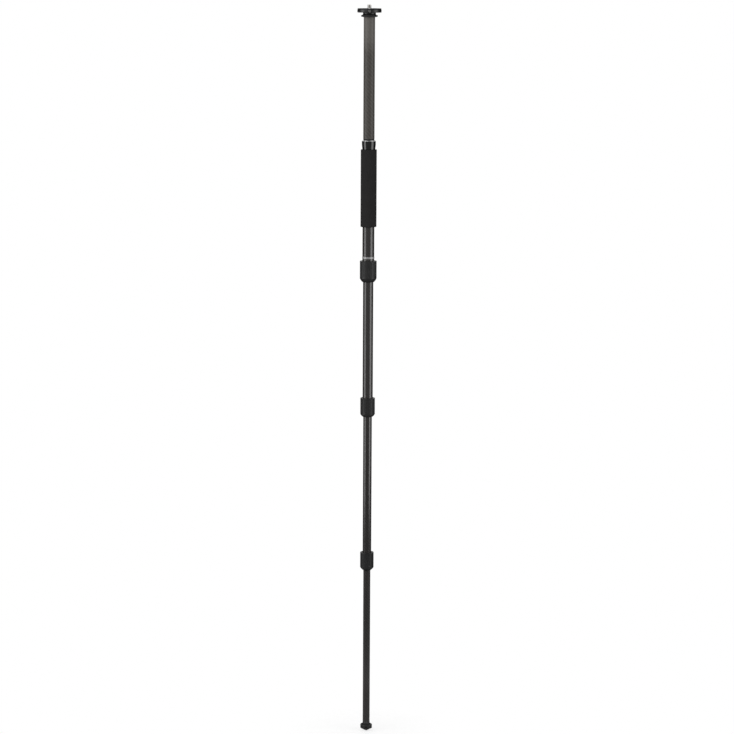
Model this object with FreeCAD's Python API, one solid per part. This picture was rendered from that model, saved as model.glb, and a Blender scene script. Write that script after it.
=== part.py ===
"""Telescopic camera monopod: a four-section leg with twist locks, a foam grip and a screwed-on column.

The leg stands along +Z. The origin is the lowest point of the foot, on the leg's axis. Lengths are in
millimetres. The leg is drawn fully extended with every lock tight. -Y is the side that a viewer faces.
"""
import FreeCAD, Part
import math
import os

from FreeCAD import Vector

# Foot
foot_radius = 13.7
foot_cone_height = 7.2
foot_skirt_height = 8.5
foot_neck_height = 5.5
foot_neck_flare = 0.9
foot_tip_round = 3.0
foot_edge_round = 1.2
foot_hole_radius = 1.8
foot_hole_depth = 2.4
foot_washer_thickness = 1.2
foot_stud_radius = 3.175
foot_stud_pitch = 1.27
foot_stud_head_radius = 8.5
foot_stud_head_height = 3.0
foot_stud_hold = 9.0
foot_plug_length = 26.0
foot_turns = 6.0

# Leg tubes
top_tube_radius = 13.6
tube_step = 1.8
tube_wall = 1.2
bare_tube_1 = 78.6
bare_tube_2 = 270.8
bare_tube_3 = 322.1
bare_tube_4 = 368.6
bushing_height = 18.0
bushing_split = 1.2

# Twist locks, from the top one down
lock_1_radius = 19.2
lock_2_radius = 16.85
lock_3_radius = 15.7
lock_1_height = 48.5
lock_2_height = 43.6
lock_3_height = 41.9
lock_1_taper = 8.2
lock_2_taper = 6.3
lock_3_taper = 6.6
lock_taper_bulge = 0.4
lock_mouth_wall = 1.7
lock_mouth_lip = 0.8
lock_mouth_gap = 0.5
lock_land = 2.6
lock_grip_thickness = 1.4
lock_rib_pitch = 4.0
lock_rib_depth = 0.45
lock_rib_end = 1.6
lock_thread_pitch = 2.0
lock_turn_degrees = 120.0
tube_end_rise = 5.6
ferrule_wall = 2.0
ferrule_lip = 2.0
ferrule_cover = 0.5
seal_height = 2.6
seal_width = 1.1
collet_cone_wall = 1.5
collet_sleeve_height = 4.0
collet_slots = 6
collet_slot_width = 1.0

# Grip, collar and silver band
foam_radius = 18.35
foam_length = 176.9
foam_edge = 0.8
collar_height = 21.2
collar_radius = 15.9
collar_foot_radius = 14.7
collar_waist_height = 11.0
collar_top_wall = 3.7
collar_shoulder = 2.0
collar_edge = 0.5
collar_boss_radius = 6.6
band_rise = 5.4
band_height = 4.6
band_thickness = 0.3

# Column
column_radius = 12.85
column_wall = 1.4
column_length = 274.9
column_plug_length = 25.0
column_washer_thickness = 3.0
column_washer_inset = 0.25
column_stud_radius = 4.76
column_stud_pitch = 1.5875
column_stud_depth = 15.0
column_turns = 6.0
column_stud_hold = 3.0

# Flange ring, neck, camera plate and stud
ring_radius = 18.7
ring_height = 4.9
ring_under_slope = 1.2
ring_edge = 0.9
neck_radius = 14.6
neck_height = 5.6
neck_flare = 2.4
plate_radius = 27.4
plate_height = 7.7
plate_edge = 1.1
pad_height = 1.6
pad_inset = 0.5
stud_radius = 4.76
stud_rise = 8.9
stud_depth = 16.0
stud_chamfer = 0.6
stud_relief_depth = 0.85
stud_relief_rise = 0.8
stud_socket_flats = 4.0
stud_socket_depth = 4.5
set_screw_radius = 3.0
set_screw_length = 20.0
set_screw_recess = 0.7
set_screw_flats = 3.0
set_screw_socket_depth = 3.0

# Clearances
bond_gap = 0.03
thread_gap = 0.10
running_gap = 0.05
seat_gap = 0.30
stack_clearance = 0.8
loose_gap = 0.30

# Travels of the screwed pieces, and what leaves room for them
foot_drop = foot_turns * foot_stud_pitch
foot_stud_reach = foot_drop + foot_stud_hold
column_lift = column_turns * column_stud_pitch
collar_boss_length = column_lift + column_stud_hold - collar_top_wall
lock_travel = lock_thread_pitch * lock_turn_degrees / 360.0
ferrule_recess = lock_travel + ferrule_cover
stack_gap = lock_travel + stack_clearance

# Heights that follow from the sizes above, from the foot's tip up
foot_top = foot_cone_height + foot_skirt_height
foot_neck_top = foot_top + foot_neck_height
tube_4_bottom = foot_neck_top + foot_washer_thickness

tube_radii = [top_tube_radius - tube_step * i for i in range(4)]
bare_tubes = [bare_tube_1, bare_tube_2, bare_tube_3, bare_tube_4]
lock_radii = [lock_1_radius, lock_2_radius, lock_3_radius]
lock_heights = [lock_1_height, lock_2_height, lock_3_height]
lock_tapers = [lock_1_taper, lock_2_taper, lock_3_taper]


def lock_levels():
    """Bottom height of each lock, the top lock first."""
    bottoms = []
    level = foot_neck_top
    for index in (2, 1, 0):
        level += bare_tubes[index + 1]
        bottoms.insert(0, level)
        level += lock_heights[index]
    return bottoms


lock_bottoms = lock_levels()
lock_tops = [bottom + height for bottom, height in zip(lock_bottoms, lock_heights)]
tube_ends = [bottom + taper + tube_end_rise for bottom, taper in zip(lock_bottoms, lock_tapers)]
collet_tops = [end + collet_sleeve_height for end in tube_ends]
bushing_bottoms = [top + seat_gap for top in collet_tops]
bushing_tops = [bottom + bushing_height for bottom in bushing_bottoms]

foam_bottom = lock_tops[0] + bare_tube_1
foam_top = foam_bottom + foam_length
collar_top = foam_top + collar_height
collar_ceiling = collar_top - collar_top_wall
column_bottom = collar_top + column_washer_thickness
column_top = column_bottom + column_length
ring_top = column_top + ring_height
neck_top = ring_top + neck_height
plate_top = neck_top + plate_height
pad_top = plate_top + pad_height
stud_top = pad_top + stud_rise

section_2_travel = lock_bottoms[0] - lock_tops[1] - stack_gap
section_3_travel = lock_bottoms[1] - lock_tops[2] - stack_gap
section_4_travel = lock_bottoms[2] - foot_neck_top - stack_gap


def round_corner(before, corner, after, radius):
    """Start, middle and end of the arc that rounds a corner of an outline."""
    to_before = (before - corner).normalize()
    to_after = (after - corner).normalize()
    half_angle = to_before.getAngle(to_after) / 2.0
    setback = radius / math.tan(half_angle)
    inward = (to_before + to_after).normalize()
    centre = corner + inward * (radius / math.sin(half_angle))
    return corner + to_before * setback, centre - inward * radius, corner + to_after * setback


def bow(radius, height):
    """Marks the edge between two corners of an outline as an arc through this point."""
    return ("bow", radius, height)


def turned(*outline):
    """Solid of revolution about Z. A corner is (radius, height) or (radius, height, rounding)."""
    corners = []
    bows = {}
    for item in outline:
        if item[0] == "bow":
            bows[len(corners) - 1] = Vector(item[1], 0, item[2])
        else:
            corners.append(item)
    points = [Vector(corner[0], 0, corner[1]) for corner in corners]
    starts = list(points)
    ends = list(points)
    edges = []
    for index, corner in enumerate(corners):
        if len(corner) == 3:
            following = points[(index + 1) % len(points)]
            start, middle, end = round_corner(points[index - 1], points[index], following, corner[2])
            starts[index] = start
            ends[index] = end
            edges.append(Part.Arc(start, middle, end).toShape())
    for index in range(len(points)):
        following = starts[(index + 1) % len(points)]
        if index in bows:
            edges.append(Part.Arc(ends[index], bows[index], following).toShape())
        else:
            edges.append(Part.LineSegment(ends[index], following).toShape())
    outline_wire = Part.Wire(Part.__sortEdges__(edges))
    return Part.Face(outline_wire).revolve(Vector(0, 0, 0), Vector(0, 0, 1), 360)


def ring(outer, inner, bottom, top):
    """Plain tube between two heights."""
    return turned((inner, bottom), (outer, bottom), (outer, top), (inner, top))


def hexagon_prism(flats, base, direction, length):
    """Six-sided prism, for the socket of a screw."""
    corner_radius = flats / math.sqrt(3.0)
    turn = FreeCAD.Rotation(Vector(0, 0, 1), direction)
    corners = []
    for step in range(7):
        angle = math.radians(60.0 * step)
        flat = Vector(corner_radius * math.cos(angle), corner_radius * math.sin(angle), 0)
        corners.append(base + turn.multVec(flat))
    return Part.Face(Part.makePolygon(corners)).extrude(direction * length)


def around(cutter, count):
    """One compound of a cutter repeated evenly round the Z axis."""
    copies = []
    for step in range(count):
        copy = cutter.copy()
        copy.rotate(Vector(0, 0, 0), Vector(0, 0, 1), 360.0 * step / count)
        copies.append(copy)
    return Part.makeCompound(copies)


def camera_stud():
    """Steel stud screwed through the plate, with a thread relief at the pad and a hexagon socket on top."""
    bottom = neck_top - stud_depth
    relief = stud_radius - stud_relief_depth
    relief_top = pad_top + stud_relief_rise
    body = turned((0, bottom), (stud_radius - stud_chamfer, bottom), (stud_radius, bottom + stud_chamfer),
                  (stud_radius, plate_top), (relief, plate_top), (relief, relief_top), (stud_radius, relief_top),
                  (stud_radius, stud_top - stud_chamfer), (stud_radius - stud_chamfer, stud_top),
                  (0, stud_top))
    socket = hexagon_prism(stud_socket_flats, Vector(0, 0, stud_top), Vector(0, 0, -1), stud_socket_depth)
    return body.cut(socket)


def top_pad():
    """Friction pad on the plate."""
    hole = stud_radius + loose_gap
    outer = plate_radius - pad_inset
    return turned((hole, plate_top), (outer, plate_top), (outer, pad_top, pad_height / 3.0), (hole, pad_top))


def set_screw_axis_height():
    return neck_top + plate_height / 2.0


def camera_plate():
    """Round plate with rounded rims, a hole for the stud and a radial hole for the set screw."""
    bore = stud_radius + bond_gap
    disc = turned((bore, neck_top), (plate_radius, neck_top, plate_edge),
                  (plate_radius, plate_top, plate_edge), (bore, plate_top))
    hole = Part.makeCylinder(set_screw_radius + bond_gap, plate_radius,
                             Vector(0, 0, set_screw_axis_height()), Vector(0, -1, 0))
    return disc.cut(hole)


def plate_set_screw():
    """Set screw in the plate's rim, which keeps the stud from turning."""
    outer_end = Vector(0, set_screw_recess - plate_radius, set_screw_axis_height())
    body = Part.makeCylinder(set_screw_radius, set_screw_length, outer_end, Vector(0, 1, 0))
    socket = hexagon_prism(set_screw_flats, outer_end, Vector(0, 1, 0), set_screw_socket_depth)
    return body.cut(socket)


def column_top_flange():
    """Plug in the column's upper end, with the rounded ring and the neck that carries the plate."""
    plug_radius = column_radius - column_wall - bond_gap
    plug_bottom = column_top - column_plug_length
    bore = stud_radius + bond_gap
    bore_bottom = neck_top - stud_depth - seat_gap
    return turned((0, plug_bottom), (plug_radius, plug_bottom), (plug_radius, column_top),
                  (column_radius, column_top), (ring_radius, column_top + ring_under_slope, ring_edge),
                  (ring_radius, ring_top, ring_edge), (neck_radius + neck_flare / 2.0, ring_top),
                  (neck_radius, ring_top + neck_flare), (neck_radius, neck_top), (bore, neck_top),
                  (bore, bore_bottom), (0, bore_bottom))


def column_tube():
    return ring(column_radius, column_radius - column_wall, column_bottom, column_top)


def column_bottom_plug():
    """Metal plug in the column's lower end that holds the joining stud."""
    outer = column_radius - column_wall - bond_gap
    return ring(outer, column_stud_radius + bond_gap, column_bottom, column_bottom + column_plug_length)


def column_stud_bottom():
    return collar_ceiling - collar_boss_length + seat_gap


def column_stud():
    """Screw that joins the column to the leg's collar."""
    bottom = column_stud_bottom()
    top = column_bottom + column_stud_depth
    edge = column_stud_radius - stud_chamfer
    return turned((0, bottom), (edge, bottom), (column_stud_radius, bottom + stud_chamfer),
                  (column_stud_radius, top - stud_chamfer), (edge, top), (0, top))


def column_washer():
    """Washer between the collar and the column."""
    outer = column_radius - column_washer_inset
    return ring(outer, column_stud_radius + loose_gap, collar_top, column_bottom)


def leg_collar():
    """Glossy cap on the leg's top, with a threaded boss for the column's stud."""
    bore = top_tube_radius + bond_gap
    thread = column_stud_radius + thread_gap
    boss_bottom = collar_ceiling - collar_boss_length
    return turned((bore, foam_top), (collar_foot_radius, foam_top),
                  (collar_radius, foam_top + collar_waist_height, collar_height / 3.0),
                  (collar_radius, collar_top - collar_shoulder, collar_edge),
                  (collar_radius - collar_shoulder, collar_top, collar_edge),
                  (thread, collar_top), (thread, boss_bottom),
                  (collar_boss_radius, boss_bottom), (collar_boss_radius, collar_ceiling),
                  (bore, collar_ceiling))


def foam_grip():
    """Foam sleeve round the upper leg tube."""
    inner = top_tube_radius + bond_gap
    return turned((inner, foam_bottom), (foam_radius, foam_bottom, foam_edge),
                  (foam_radius, foam_top, foam_edge), (inner, foam_top))


def silver_band():
    """Narrow bright ring above the top lock."""
    inner = top_tube_radius + bond_gap
    bottom = lock_tops[0] + band_rise
    return ring(inner + band_thickness, inner, bottom, bottom + band_height)


def leg_tube(index):
    """One tube of the leg, the top tube at index 0."""
    outer = tube_radii[index]
    bottom = tube_ends[index] if index < 3 else tube_4_bottom
    top = bushing_tops[index - 1] if index > 0 else collar_ceiling - seat_gap
    return ring(outer, outer - tube_wall, bottom, top)


def tube_bushings(index):
    """Two half shells on the upper end of an inner tube, which guide it in the tube around it."""
    outer = tube_radii[index - 1] - tube_wall - running_gap
    inner = tube_radii[index] + bond_gap
    bottom = bushing_bottoms[index - 1]
    shell = ring(outer, inner, bottom, bottom + bushing_height - seat_gap)
    split_corner = Vector(-outer, -bushing_split / 2.0, bottom)
    split = Part.makeBox(2 * outer, bushing_split, bushing_height, split_corner)
    return shell.cut(split)


def lock_ferrule(index):
    """Threaded sleeve bonded on the outer tube's lower end, with a lip under the tube."""
    tube = tube_radii[index]
    bottom = tube_ends[index] - ferrule_lip
    top = lock_tops[index] - ferrule_recess
    outer = tube + ferrule_wall
    return turned((tube - tube_wall, bottom), (outer, bottom), (outer, top), (tube + bond_gap, top),
                  (tube + bond_gap, tube_ends[index]), (tube - tube_wall, tube_ends[index]))


def collet_bottom(index):
    return lock_bottoms[index] + lock_mouth_lip + seal_height + seat_gap


def cone_radii(index):
    """Inner radius of the nut's cone at its lower and its upper end."""
    lower = tube_radii[index + 1] + collet_cone_wall
    upper = tube_radii[index] + collet_cone_wall
    return lower, upper


def lock_nut(index):
    """Plastic nut: threaded above, with a cone inside and a bulged taper outside at its lower end."""
    bottom = lock_bottoms[index]
    top = lock_tops[index]
    taper_top = bottom + lock_tapers[index]
    radius = lock_radii[index]
    body = radius - lock_grip_thickness
    thread = tube_radii[index] + ferrule_wall + thread_gap
    inner_tube = tube_radii[index + 1]
    seal_top = bottom + lock_mouth_lip + seal_height
    seal_radius = inner_tube + running_gap + seal_width + bond_gap
    cone_lower, cone_upper = cone_radii(index)
    cone_top = tube_ends[index] - ferrule_lip
    mouth = inner_tube + lock_mouth_wall
    opening = inner_tube + lock_mouth_gap
    lip_top = bottom + lock_mouth_lip
    taper_bow = bow((mouth + radius) / 2.0 + lock_taper_bulge, (bottom + taper_top) / 2.0 - lock_taper_bulge)
    return turned((opening, bottom), (mouth, bottom), taper_bow, (radius, taper_top),
                  (radius, taper_top + lock_land), (body, taper_top + lock_land), (body, top), (thread, top),
                  (thread, cone_top), (cone_upper, cone_top), (cone_lower, seal_top), (seal_radius, seal_top),
                  (seal_radius, lip_top), (opening, lip_top))


def lock_grip(index):
    """Ribbed rubber sleeve on the nut."""
    radius = lock_radii[index]
    inner = radius - lock_grip_thickness + bond_gap
    bottom = lock_bottoms[index] + lock_tapers[index] + lock_land
    top = lock_tops[index]
    sleeve = turned((inner, bottom), (radius, bottom), (radius, top, lock_grip_thickness / 2.0), (inner, top))
    count = round(2.0 * math.pi * radius / lock_rib_pitch)
    groove_radius = lock_rib_pitch / 4.0
    groove_centre = radius + groove_radius - lock_rib_depth
    groove = Part.makeCylinder(groove_radius, top - bottom - 2.0 * lock_rib_end,
                               Vector(groove_centre, 0, bottom + lock_rib_end))
    return sleeve.cut(around(groove, count))


def lock_collet(index):
    """Split cone round the inner tube, with a thin sleeve that reaches into the outer tube."""
    inner = tube_radii[index + 1] + running_gap
    sleeve = tube_radii[index] - tube_wall - running_gap
    bottom = collet_bottom(index)
    shoulder = tube_ends[index] - ferrule_lip
    cone_lower, cone_upper = cone_radii(index)
    seal_top = lock_bottoms[index] + lock_mouth_lip + seal_height
    slope = (cone_upper - cone_lower) / (shoulder - seal_top)
    lower = cone_lower + slope * (bottom - seal_top) - running_gap
    upper = cone_upper - running_gap
    body = turned((inner, bottom), (lower, bottom), (upper, shoulder), (sleeve, shoulder),
                  (sleeve, collet_tops[index]), (inner, collet_tops[index]))
    slot_height = shoulder - bottom
    slot = Part.makeBox(upper, collet_slot_width, slot_height, Vector(0, -collet_slot_width / 2.0, bottom))
    return body.cut(around(slot, collet_slots))


def lock_seal(index):
    """Wiper ring in the nut's mouth."""
    inner = tube_radii[index + 1] + running_gap
    bottom = lock_bottoms[index] + lock_mouth_lip
    return ring(inner + seal_width, inner, bottom, bottom + seal_height)


def foot_plug():
    """Threaded plug in the lowest tube's end."""
    outer = tube_radii[3] - tube_wall - bond_gap
    return ring(outer, foot_stud_radius + thread_gap, tube_4_bottom, tube_4_bottom + foot_plug_length)


def foot_washer():
    """Washer between the foot and the lowest tube."""
    return ring(tube_radii[3], foot_stud_radius + loose_gap, foot_neck_top, tube_4_bottom)


def foot_stud():
    """The foot's screw, whose flat head is moulded into the rubber."""
    head_top = foot_cone_height + foot_stud_head_height
    top = tube_4_bottom + foot_stud_reach
    edge = foot_stud_radius - stud_chamfer
    return turned((0, foot_cone_height), (foot_stud_head_radius, foot_cone_height),
                  (foot_stud_head_radius, head_top), (foot_stud_radius, head_top),
                  (foot_stud_radius, top - stud_chamfer), (edge, top), (0, top))


def rubber_foot():
    """Rubber foot: a flared neck, a round skirt with a blind hole, and a blunt cone that meets the ground."""
    stud = foot_stud_radius + bond_gap
    head = foot_stud_head_radius + bond_gap
    head_bottom = foot_cone_height - bond_gap
    head_top = foot_cone_height + foot_stud_head_height + bond_gap
    tube = tube_radii[3]
    rise = math.atan2(foot_cone_height - foot_tip_round, foot_radius)
    reach = math.hypot(foot_cone_height - foot_tip_round, foot_radius)
    touch = rise - math.acos(foot_tip_round / reach)
    halfway = (touch - math.pi / 2.0) / 2.0
    tip = [(foot_tip_round * math.cos(angle), foot_tip_round * (1.0 + math.sin(angle)))
           for angle in (halfway, touch)]
    body = turned((0, 0), bow(*tip[0]), tip[1], (foot_radius, foot_cone_height, foot_edge_round),
                  (foot_radius, foot_top, foot_edge_round), (tube + foot_neck_flare, foot_top),
                  (tube, foot_neck_top), (stud, foot_neck_top), (stud, head_top), (head, head_top),
                  (head, head_bottom), (0, head_bottom))
    hole_height = foot_cone_height + foot_skirt_height / 2.0
    hole_mouth = Vector(0, -foot_radius, hole_height)
    hole = Part.makeCylinder(foot_hole_radius, foot_hole_depth, hole_mouth, Vector(0, 1, 0))
    return body.cut(hole)


def pieces():
    """Every piece of the monopod by its node name."""
    made = {
        "camera_stud": camera_stud(),
        "top_pad": top_pad(),
        "camera_plate": camera_plate(),
        "plate_set_screw": plate_set_screw(),
        "column_top_flange": column_top_flange(),
        "column_tube": column_tube(),
        "column_bottom_plug": column_bottom_plug(),
        "column_stud": column_stud(),
        "column_washer": column_washer(),
        "leg_collar": leg_collar(),
        "foam_grip": foam_grip(),
        "silver_band": silver_band(),
        "foot_plug": foot_plug(),
        "foot_washer": foot_washer(),
        "foot_stud": foot_stud(),
        "rubber_foot": rubber_foot(),
    }
    for index in range(4):
        made["leg_tube_%d" % (index + 1)] = leg_tube(index)
    for index in range(1, 4):
        made["tube_%d_bushings" % (index + 1)] = tube_bushings(index)
    for index in range(3):
        name = "lock_%d_" % (index + 1)
        made[name + "ferrule"] = lock_ferrule(index)
        made[name + "collet"] = lock_collet(index)
        made[name + "nut"] = lock_nut(index)
        made[name + "grip"] = lock_grip(index)
        made[name + "seal"] = lock_seal(index)
    return made


def main():
    os.makedirs("parts", exist_ok=True)
    for name, shape in pieces().items():
        if not shape.isValid():
            print("not valid:", name)
        shape.exportStep("parts/%s.step" % name)
    print("overall height %.2f" % stud_top)
    print("ceiling over the nested tubes %.2f" % collar_ceiling)
    print("section travels %.2f, %.2f and %.2f" % (section_2_travel, section_3_travel, section_4_travel))
    print("lock travel %.3f, column lift %.3f, foot drop %.3f" % (lock_travel, column_lift, foot_drop))
    lifts = [section_2_travel, section_2_travel + section_3_travel,
             section_2_travel + section_3_travel + section_4_travel]
    for index, lift in enumerate(lifts):
        print("tube %d top when collapsed %.2f" % (index + 2, bushing_tops[index] + lift))


main()
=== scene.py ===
# %% [markdown]
# # A camera monopod, dressed for its picture
# The CAD model has every piece of this monopod at its real size and in its real place. This
# lesson gives the pieces their looks. It loads the model as a fixed frame, remakes the few pieces
# whose detail is too fine for CAD, gives every surface a procedural material, and lights the whole
# like a product picture on white. All lengths in Blender are metres, so the millimetres of the
# real pieces are multiplied by MM.

# %% Load the frame
import math

import bmesh
import bpy
from mathutils import Matrix, Vector, noise


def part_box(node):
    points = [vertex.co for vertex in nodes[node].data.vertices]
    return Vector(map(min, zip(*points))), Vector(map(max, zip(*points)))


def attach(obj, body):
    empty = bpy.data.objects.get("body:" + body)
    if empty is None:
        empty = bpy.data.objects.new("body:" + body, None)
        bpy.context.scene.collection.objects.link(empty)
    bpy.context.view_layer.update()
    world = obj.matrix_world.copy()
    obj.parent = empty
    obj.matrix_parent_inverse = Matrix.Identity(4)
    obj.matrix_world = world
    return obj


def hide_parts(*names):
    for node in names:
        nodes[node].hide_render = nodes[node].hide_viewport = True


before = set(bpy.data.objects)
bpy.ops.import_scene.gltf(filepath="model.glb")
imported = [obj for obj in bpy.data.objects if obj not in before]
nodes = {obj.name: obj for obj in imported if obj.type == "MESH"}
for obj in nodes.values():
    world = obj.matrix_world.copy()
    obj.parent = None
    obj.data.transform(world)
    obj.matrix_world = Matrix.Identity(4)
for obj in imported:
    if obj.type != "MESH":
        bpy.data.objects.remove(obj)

MM = 0.001
scene = bpy.context.scene
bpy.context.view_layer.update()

# %% [markdown]
# ## The camera
# A camera could be placed by eye, but then few edges would fall where the picture has them. This
# one was fitted to the widths of the tubes, the locks, the plate and the foot. A long lens far
# away keeps a slim object straight from end to end, and pieces near the top look a little wider
# than they would from level with the middle, so it stands high. The focal length in pixels over
# the picture's width in pixels, times the sensor's width, is the lens in millimetres. The camera
# looks down by nine degrees, and is rolled by a quarter of a degree because the pole leans that
# much.

# %% Place the camera
picture_width = 734.0
focal_length_pixels = 2560.0
camera_place = Vector((-0.0018, -5.846, 1.7957))
camera_tilt = math.radians(9.0)
camera_roll = math.radians(0.27)

lens = bpy.data.cameras.new("studio_camera")
lens.sensor_width = 36.0
lens.lens = focal_length_pixels / picture_width * lens.sensor_width
camera = bpy.data.objects.new("studio_camera", lens)
scene.collection.objects.link(camera)
aim = Matrix.Rotation(math.pi / 2 - camera_tilt, 4, "X") @ Matrix.Rotation(camera_roll, 4, "Z")
camera.matrix_world = Matrix.Translation(camera_place) @ aim
scene.camera = camera
scene.view_settings.view_transform = "Standard"
print("lens %.2f mm" % lens.lens)

# %% [markdown]
# ## Writing shaders as sums
# A material is a tree of nodes, and a tree is tedious to write one link at a time. Here a Wire
# stands for the output of a node, and Python's own signs add Math nodes to the tree: 1 - mask is
# one Subtract node. A Recipe holds the tree. Its method node makes any other node from its kind,
# its settings and its sockets, and the methods after it are the nodes that every finish needs.

# %% A wire that can be added and multiplied
class Wire:
    """An output socket. Sums with numbers and other wires add Math nodes to its recipe."""

    def __init__(self, recipe, socket):
        self.recipe = recipe
        self.socket = socket

    def __getitem__(self, name):
        return Wire(self.recipe, self.socket.node.outputs[name])

    def __add__(self, other):
        return self.recipe.maths("ADD", self, other)

    def __radd__(self, other):
        return self.recipe.maths("ADD", other, self)

    def __sub__(self, other):
        return self.recipe.maths("SUBTRACT", self, other)

    def __rsub__(self, other):
        return self.recipe.maths("SUBTRACT", other, self)

    def __mul__(self, other):
        return self.recipe.maths("MULTIPLY", self, other)

    def __rmul__(self, other):
        return self.recipe.maths("MULTIPLY", other, self)

    def __truediv__(self, other):
        return self.recipe.maths("DIVIDE", self, other)

    def __pow__(self, other):
        """The value without its sign, raised to a power, as a Power node takes none below 0."""
        return self.recipe.maths("POWER", abs(self), other)

    def __mod__(self, other):
        return self.recipe.maths("FLOORED_MODULO", self, other)

    def __lt__(self, other):
        return self.recipe.maths("LESS_THAN", self, other)

    def __gt__(self, other):
        return self.recipe.maths("GREATER_THAN", self, other)

    def __neg__(self):
        return self.recipe.maths("MULTIPLY", self, -1.0)

    def __abs__(self):
        return self.recipe.maths("ABSOLUTE", self)


# %% A recipe that makes nodes
class Recipe:
    """The node tree of one material or world while it is written."""

    def __init__(self, owner):
        owner.use_nodes = True
        self.owner = owner
        self.tree = owner.node_tree
        self.tree.nodes.clear()

    def node(self, kind, settings=None, sockets=None):
        """Makes a node, sets its settings, then fills its sockets, each by name or number."""
        made = self.tree.nodes.new("ShaderNode" + kind)
        for name, value in (settings or {}).items():
            setattr(made, name, value)
        for name, value in (sockets or {}).items():
            socket = made.inputs[name] if isinstance(name, int) else self.enabled(made.inputs, name)
            if isinstance(value, Wire):
                self.tree.links.new(value.socket, socket)
            else:
                socket.default_value = value
        return Wire(self, self.enabled(made.outputs))

    def enabled(self, sockets, name=None):
        """The first socket in use, of that name if one is given."""
        return next((s for s in sockets if s.enabled and name in (None, s.name)), None)

    def maths(self, operation, *values):
        return self.node("Math", {"operation": operation}, dict(enumerate(values)))

    def blend(self, share, first, second):
        """The first colour where the share is 0, the second where it is 1."""
        return self.node("Mix", {"data_type": "RGBA"}, {"Factor": share, "A": first, "B": second})

    def step(self, value, low, high):
        """0 below low, 1 above high and a soft rise between."""
        return self.node("MapRange", {"interpolation_type": "SMOOTHSTEP"},
                         {"Value": value, "From Min": low, "From Max": high})

    def near(self, value, centre, reach):
        """1 at the centre, and down to 0 at the reach from it."""
        return 1.0 - self.step(abs(value - centre), 0.0, reach)

    def grain(self, vector, scale, detail, roughness=0.5):
        """Soft noise from 0 to 1, with a scale in lumps per metre."""
        return self.node("TexNoise", {}, {"Vector": vector, "Scale": scale, "Detail": detail,
                                          "Roughness": roughness})

    def vector(self, x, y, z):
        return self.node("CombineXYZ", {}, {"X": x, "Y": y, "Z": z})

    def bump(self, height, depth, strength):
        """Normal of a relief whose height runs from 0 to 1 over a depth in metres."""
        return self.node("Bump", {}, {"Height": height, "Distance": depth, "Strength": strength})


print("recipe methods:", ", ".join(name for name in vars(Recipe) if not name.startswith("_")))

# %% [markdown]
# ## Where a point lies on a turned piece
# Nearly every piece here is round about the same upright axis. A UV map could say where a point
# lies on it, but each piece would have to be unwrapped. Object coordinates say it in metres and
# need nothing, because every object sits at the origin with its place in its mesh. From them come
# the height, the distance from the axis, and the angle round it, which is measured from the front
# so that its seam falls at the back.

# %% Coordinates of a turned piece
class TurnedPoint:
    """The point that a shader works on, in metres from the foot's tip."""

    def __init__(self, recipe):
        self.recipe = recipe
        self.place = recipe.node("TexCoord")["Object"]
        parts = recipe.node("SeparateXYZ", {}, {"Vector": self.place})
        self.x, self.y, self.height = parts["X"], parts["Y"], parts["Z"]

    def distance(self):
        """Distance from the axis."""
        return (self.x * self.x + self.y * self.y) ** 0.5

    def angle(self):
        """Angle round the axis, 0 on the side that faces the camera."""
        return self.recipe.maths("ARCTAN2", self.x, -self.y)


print("a turned point knows its place, height, distance and angle")

# %% [markdown]
# ## The white studio
# The picture has a pure white background. A very strong light would give that too, but it would
# also bleach the object. Here white comes from what the camera sees: the world asks Light Path
# what kind of ray has come, and shows a strength of 1 to the camera. A mirror on the pole sees
# the room round it instead. Behind the pole hangs a white paper roll, and on both sides of the
# roll stand black cards, which keep the edges of every tube dark. A pale ring on the dark ceiling
# lights a bevel at its two sides and leaves the middle dark. The rest of the room is dim. All
# other rays meet an even, weak fill light.

# %% Colours and fades
def paint(red, green, blue):
    return (red, green, blue, 1.0)


def grey(tone):
    return paint(tone, tone, tone)


def fade(first, second, share):
    """The first value where the share is 0, the second where it is 1."""
    return first + (second - first) * share


print("a fade of a third from 0 to 1 is %.2f" % fade(0.0, 1.0, 1 / 3))

# %% World
room_tone, card_tone, paper_tone = 0.3, 0.02, 1.0
ceiling_tone, ring_tone = 0.06, 1.0
fill_light = 0.22
# The roll and the cards fade in between two angles from straight behind, held as cosines.
paper_roll = (math.cos(math.radians(12.0)), math.cos(math.radians(8.0)))
black_cards = (math.cos(math.radians(88.0)), math.cos(math.radians(72.0)))
# The ceiling and its ring lie where the upward part of a direction has these lengths.
ceiling_edge = (0.35, 0.6)
ring_middle, ring_reach = 0.83, 0.14

air = Recipe(bpy.data.worlds.new("studio_air"))
scene.world = air.owner
ray = air.node("LightPath")
way = air.node("SeparateXYZ", {}, {"Vector": air.node("TexCoord")["Generated"]})
behind = way["Y"] / (way["X"] * way["X"] + way["Y"] * way["Y"]) ** 0.5
room = fade(room_tone, card_tone, air.step(behind, *black_cards))
room = fade(room, paper_tone, air.step(behind, *paper_roll))
room = fade(room, ceiling_tone, air.step(way["Z"], *ceiling_edge))
room = fade(room, ring_tone, air.near(way["Z"], ring_middle, ring_reach))
mirrored = air.maths("MAXIMUM", ray["Is Glossy Ray"], ray["Is Transmission Ray"])
strength = fade(fill_light, room, mirrored)
strength = fade(strength, 1.0, ray["Is Camera Ray"])
glow = air.node("Background", {}, {"Color": grey(1.0), "Strength": strength})
air.node("OutputWorld", {}, {"Surface": glow})
print("fill light %.2f, paper roll %.1f" % (fill_light, paper_tone))

# %% [markdown]
# ## The floor
# The floor is a sheet that is white round the foot and darker farther out, where it would only
# throw light up at the matte pieces. A floor that the camera sees would draw a horizon, and would
# hide the foot when it is screwed out or seen from below, so the camera looks through it at the
# white world. Near the foot, seen from above, it keeps a share of its lit surface, where the
# shadow falls. Everything else meets only the lit sheet. Mirrors see it dimmed, most of all near
# the pole, because glossy tubes that are looked at from above reflect only that and would turn
# pale.

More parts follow.
